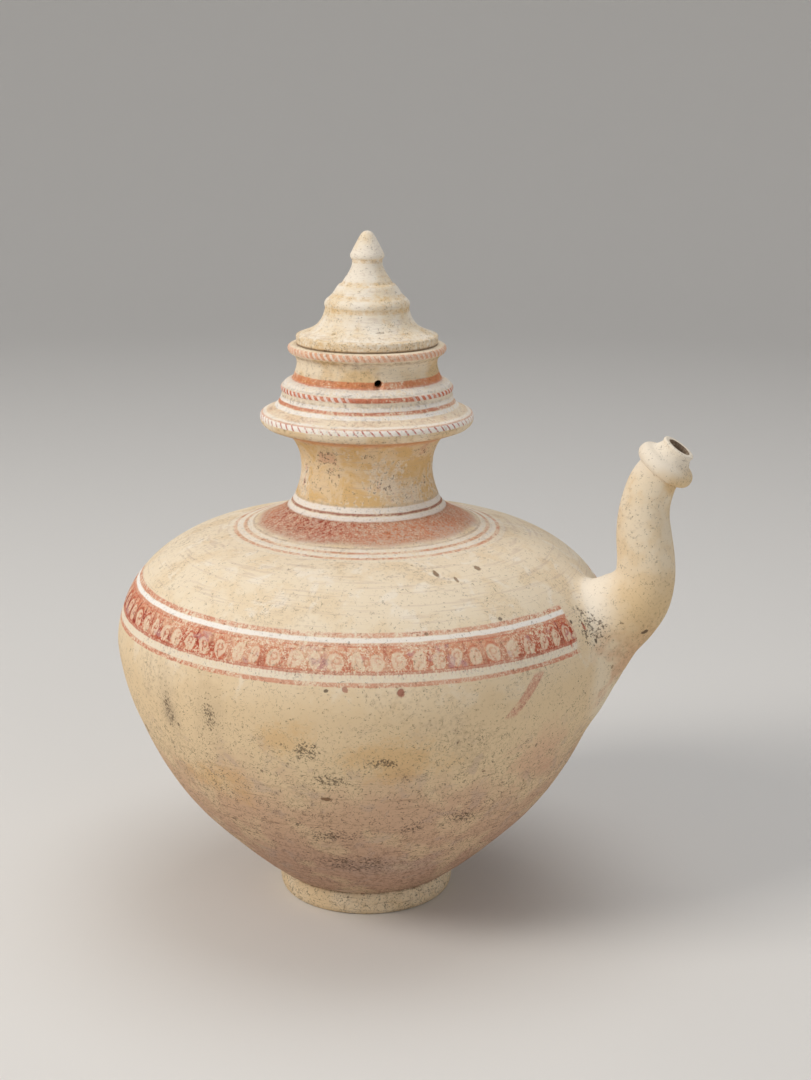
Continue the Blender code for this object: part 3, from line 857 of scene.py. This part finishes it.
def finish_clay(ground, colour, height, rough):
    """Joins the layers to the shader: dry, dull, unglazed clay with a fine relief."""
    shader = ground.shader
    feed(shader.inputs["Base Color"], colour)
    feed(shader.inputs["Roughness"], rough)
    shader.inputs["Specular IOR Level"].default_value = 0.28
    shader.inputs["IOR"].default_value = 1.45
    bump = height.add("ShaderNodeBump")
    bump.inputs["Strength"].default_value = 0.85
    bump.inputs["Distance"].default_value = 0.001
    feed(bump.inputs["Height"], height)
    feed(shader.inputs["Normal"], Wire(bump.outputs[0]))
    return ground.material


def body_colour(ground):
    """The bare clay and the slips of the turned body, before any paint."""
    z = ground.z
    shift = (ground.broad - 0.5) * 60 + (ground.wide - 0.5) * 60
    colour = mixed(CREAM, SAND, (z + shift).step(205, 150))
    colour = mixed(colour, CLAY, (z + shift).step(135, 85))
    colour = mixed(colour, PINK_CLAY, (z + shift * 0.7).step(88, 40) * 0.6)
    colour = mixed(colour, DIRT, ground.grain.step(0.5, 0.62) * z.step(110, 40) * 0.25)
    colour = mixed(colour, SAND, ground.broad.step(0.48, 0.62) * 0.45)
    colour = mixed(colour, GREY_ROSE, ground.patches.step(0.54, 0.66) * z.step(170, 120) * 0.4)
    colour = mixed(colour, PALE, ground.patches.step(0.46, 0.34) * z.step(150, 190) * 0.6)
    foot = mixed(SAND, CREAM, ground.broad.step(0.4, 0.62) * 0.6)
    colour = mixed(colour, foot, (z + (ground.grain - 0.5) * 3).step(15.6, 13.2))
    neck = mixed(OCHRE, SAND, ground.patches.step(0.42, 0.56))
    neck = mixed(neck, PALE, (ground.broad * 0.6 + ground.grain * 0.4).step(0.51, 0.6) * 0.6)
    neck = mixed(neck, ROSE, ground.patches.step(0.58, 0.66) * 0.4)
    neck = mixed(neck, ORANGE, (z + (ground.grain - 0.5) * 5).step(281.5, 285) * 0.5)
    colour = mixed(colour, neck, z.step(246, 249) * z.step(289, 287))
    under = mixed(CREAM, SAND, ground.broad.step(0.42, 0.6))
    under = mixed(under, DIRT, ground.grain.step(0.56, 0.66) * 0.3)
    colour = mixed(colour, under, z.band(287.5, 293, 0.7))
    collar = mixed(CREAM, OCHRE, ground.broad.step(0.4, 0.6) * 0.75)
    colour = mixed(colour, collar, z.band(316, 331, 0.8))
    return colour


def shoulder_field(ground, colour):
    """The worn orange-red field round the neck's foot."""
    edge = ground.radius + (ground.grain - 0.5) * 4 + (ground.broad - 0.5) * 8
    field = edge.step(66.5, 61) * ground.z.step(242, 239.5) * ground.z.step(215, 222)
    mottle = (ground.fine * 0.45 + ground.grain * 0.35 + ground.patches * 0.2).step(0.42, 0.56)
    left = (ground.degrees + 115).size().step(62, 14)
    colour = mixed(colour, GREY_ROSE, field * 0.6)
    tone = mixed(ORANGE, RED, left * 0.8)
    tone = mixed(tone, ROSE, ground.patches.step(0.5, 0.62) * 0.7)
    colour = mixed(colour, tone, field * (mottle * 0.72 + 0.16) * edge.step(74, 54))
    flecks = (clouds(ground.at, 0.9, 3, 0.7) + (ground.patches - 0.5) * 0.5).step(0.54, 0.62)
    colour = mixed(colour, CREAM, flecks * field * 0.55)
    dark = (ground.fine * 0.5 + ground.grain * 0.5).step(0.52, 0.58) * left * edge.step(62, 48)
    return mixed(colour, DEEP_RED, dark * field * 0.75)


def rope_paint(ground, colour):
    """Red and white strokes along the three nicked edges."""
    for low, high, count, ground_colour, stroke, worn in ROPE_PAINT:
        zone = ground.z.band(low, high, 0.3)
        phase = ground.turn * count + ground.z * (NICK_LEAN * MM) + ground.wobble * 0.35
        wave = phase.calc("COSINE")
        dash = wave.step(0.55, 0.85) if stroke is RED else wave.step(-0.1, 0.35)
        if ground_colour is BRICK:
            dash = dash * (ground.degrees + 62).size().step(16, 26)
        faint = 0.6 if ground_colour is ORANGE else 0.85
        colour = mixed(colour, ground_colour, zone * ground.kept(0.25) * faint)
        colour = mixed(colour, stroke, zone * dash * ground.kept(worn) * 0.85)
    return colour


def vessel_material():
    """Worn cream slip over pinkish clay, with the faded red, orange and white bands."""
    ground = Ground("worn_slip_and_paint")
    z = ground.z
    spout = ground.at.add("ShaderNodeAttribute", attribute_name="on_spout")
    spout = Wire(spout.outputs["Fac"])
    body = spout.step(0.5, 0.1)

    colour = body_colour(ground)
    streaks = ground.brush.step(0.52, 0.66)
    colour = mixed(colour, GREY_ROSE, streaks * z.step(165, 185) * 0.28)
    colour = mixed(colour, DIRT, ground.brush.step(0.56, 0.68) * z.step(140, 105) * 0.38)
    for azimuth, height, wide, tall, paint, strength in STAINS:
        away = ground.oval(azimuth, height, wide, tall, radius_at(height)) + (ground.broad - 0.5) * 2.6
        away = away + (ground.grain - 0.5) * 1.4
        colour = mixed(colour, paint, away.step(1.4, 0.25) * body * strength)

    colour = shoulder_field(ground, colour)
    colour = rings(ground, colour, z, HEIGHT_RINGS, body)
    on_shoulder = z.step(215, 219) * z.step(242, 239) * body
    colour = rings(ground, colour, ground.radius, SHOULDER_RINGS, on_shoulder)
    colour = rope_paint(ground, colour)

    away = ground.degrees.size() + (ground.grain - 0.5) * 5
    in_band = away.step(BAND_END - 0.6, BAND_END + 0.6) * body
    fade = (ground.degrees + 68).size().step(14, 52) * 0.5 + 0.5
    field = z.band(175.5, 201, 0.6) * in_band
    colour = mixed(colour, CREAM, field * 0.7)
    colour = frieze(ground, colour, in_band, fade)
    colour = rings(ground, colour, z, BAND_RINGS, in_band * (fade * 0.5 + 0.5))

    pipe = mixed(CREAM, SAND, ground.broad.step(0.42, 0.6) * 0.7)
    bend = ground.x.step(142, 168) * z.step(235, 185)
    pipe = mixed(pipe, OCHRE, bend * 0.65)
    root = ground.x.step(158, 140) * z.step(175, 195)
    pipe = mixed(pipe, PALE, (root + z.step(268, 280)).calc("MINIMUM", 1) * 0.8)
    pipe = mixed(pipe, ROSE, z.step(196, 160) * ground.broad.step(0.42, 0.58) * 0.35)
    pipe = mixed(pipe, OCHRE, z.band(258, 270, 5) * ground.broad.step(0.4, 0.6) * 0.6)
    colour = mixed(colour, pipe, spout.step(0.05, 0.7))

    slant = (ground.degrees + 35.8) * 2.57 - (z - 162) * 0.92
    smear = (slant + ground.wobble).band(-3.8, 3.8, 0.8) * z.band(151, 172.5, 1.5)
    colour = mixed(colour, ROSE, smear * ground.kept(0.38) * 0.8)

    height = ground.brush * 0.1
    for azimuth, level, wide, tall, paint, strength in MARKS:
        away = ground.oval(azimuth, level, wide, tall, radius_at(level)) + (ground.grain - 0.5) * 1.3
        spot = away.step(1.1, 0.7)
        colour = mixed(colour, paint, spot * strength)
        height = height - spot * 0.2
    crowd = z * 0
    for azimuth, level, wide, tall in SPECKLED:
        away = ground.oval(azimuth, level, wide, tall, radius_at(level))
        crowd = crowd.calc("MAXIMUM", away.step(1.3, 0.3))
    on_neck = z.band(250, 282, 4) * ground.patches.step(0.46, 0.62)
    crowd = crowd.calc("MAXIMUM", on_neck * body * 0.8)
    crowd = crowd * 0.42 + (clouds(ground.at, 0.75, 3, 0.7) - 0.5) * 1.6 + (ground.grain - 0.5) * 0.8
    dots = crowd.step(0.42, 0.52)
    colour = mixed(colour, DARK, dots * 0.7)
    height = height - dots * 0.08

    colour, height = clay_layers(ground, colour, height, z.step(175, 90))
    colour = mixed(colour, DIRT, (ground.wide * 0.5 + ground.grain * 0.5).step(0.52, 0.68) * 0.22)
    # Painted shade: the listed corners of the form are darkened with the dirt colour, where shade falls
    # under the bead, the flange and the rim and at the foot.
    for low, high, strength in CREVICES:
        corner = z.band(low, high, 0.6) * body * ground.grain.step(0.34, 0.6)
        colour = mixed(colour, DIRT, corner * strength)
    hollow = ground.at.add("ShaderNodeAttribute", attribute_name="hollow")
    inner = mixed(GREY_CLAY, DIRT, ground.grain.step(0.4, 0.6))
    colour = mixed(colour, inner, Wire(hollow.outputs["Fac"]).step(0.3, 0.8) * 0.85)
    rough = ground.grain * 0.12 + 0.8
    return finish_clay(ground, colour, height, rough)


def lid_material():
    """The lid's pale slip, with faint turning streaks, ochre dirt in its steps and painted shadow along its
    lower edge.
    """
    ground = Ground("worn_pale_slip")
    z = ground.z
    colour = mixed(PALE, CREAM, ground.broad.step(0.42, 0.6))
    colour = mixed(colour, GREY_ROSE, ground.brush.step(0.52, 0.66) * 0.3)
    colour = mixed(colour, OCHRE, (ground.broad * 0.5 + ground.grain * 0.5).step(0.52, 0.64) * 0.45)
    for low, high, strength in LID_CREVICES:
        colour = mixed(colour, OCHRE, z.band(low, high, 0.5) * ground.grain.step(0.3, 0.6) * strength)
    # Painted shadow: the lid's lower edge and underside are darkened with the dirt colour, as the shadow
    # where it sits on the rim.
    colour = mixed(colour, DIRT, z.step(336.9, 336) * 0.7)
    scratch = ground.oval(-58, 345.4, 3, 0.35, 31).step(1.1, 0.7)
    colour = mixed(colour, DIRT, scratch * 0.55)
    height = ground.brush * 0.12 - scratch * 0.1
    colour, height = clay_layers(ground, colour, height, z.step(350, 330))
    return finish_clay(ground, colour, height, ground.grain * 0.12 + 0.8)


def plain_material(name, colour, rough):
    """A plain dull material."""
    material = bpy.data.materials.new(name)
    material.use_nodes = True
    shader = material.node_tree.nodes["Principled BSDF"]
    shader.inputs["Base Color"].default_value = linear(colour)
    shader.inputs["Roughness"].default_value = rough
    shader.inputs["Specular IOR Level"].default_value = 0.1
    return material


def build_floor():
    """A pale floor that curves up far away on every side."""
    rows = [(0, 0, 1)] + [(r, 0, FLOOR_SIDES) for r in (400, 1200, FLOOR_FLAT)]
    for degrees in range(10, 91, 10):
        turn = radians(degrees)
        radius = FLOOR_FLAT + FLOOR_CURVE * sin(turn)
        rows.append((radius, FLOOR_CURVE - FLOOR_CURVE * cos(turn), FLOOR_SIDES))
    rows.append((FLOOR_FLAT + FLOOR_CURVE, FLOOR_TOP, FLOOR_SIDES))
    verts, faces = turned(rows)
    floor = solid("floor", (verts, [face[::-1] for face in faces]))
    floor.data.shade_smooth()
    floor.data.materials.append(plain_material("pale_floor", (226, 224, 221), 0.9))


def add_light(name, at, size, power, colour=(255, 255, 255)):
    """A square soft light aimed at the vessel's belly."""
    data = bpy.data.lights.new(name, "AREA")
    data.size = size
    data.energy = power
    data.color = linear(colour)[:3]
    light = bpy.data.objects.new(name, data)
    light.location = at
    light.rotation_euler = (Vector(at) - Vector((0, 0, 0.2))).to_track_quat("Z", "Y").to_euler()
    light.visible_camera = False
    bpy.context.scene.collection.objects.link(light)


def set_stage():
    """The floor, the lights, the sky and the photograph's camera."""
    build_floor()
    add_light("key", (-1.5, -1.5, 1.7), 1.0, 38, (255, 250, 243))
    add_light("fill", (1.9, -1.3, 0.9), 1.6, 7, (243, 248, 255))
    add_light("top", (0.1, 0.3, 2.3), 1.6, 16)
    world = bpy.data.worlds.new("studio")
    world.use_nodes = True
    sky = world.node_tree.nodes["Background"]
    sky.inputs[0].default_value = linear((232, 234, 238))
    sky.inputs[1].default_value = 0.36
    scene = bpy.context.scene
    scene.world = world
    scene.view_settings.view_transform = "Standard"
    data = bpy.data.cameras.new("camera")
    data.sensor_fit = "AUTO"
    data.sensor_width = CAMERA_SENSOR
    data.lens = CAMERA_LENS
    camera = bpy.data.objects.new("camera", data)
    turn = Euler((CAMERA_PITCH, 0, CAMERA_TURN)).to_matrix() @ Matrix.Rotation(CAMERA_ROLL, 3, "Z")
    camera.matrix_world = Matrix.Translation(CAMERA_AT) @ turn.to_4x4()
    scene.collection.objects.link(camera)
    scene.camera = camera


def main():
    """Builds the pieces round the frame, and sets the stage."""
    vessel = build_vessel()
    vessel.data.materials.clear()
    vessel.data.materials.append(vessel_material())
    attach(vessel, "root")
    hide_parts("vessel", "shoulder", "neck", "spout")
    lid = build_lid()
    lid.data.materials.append(lid_material())
    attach(lid, "root")
    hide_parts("lid")
    set_stage()


main()
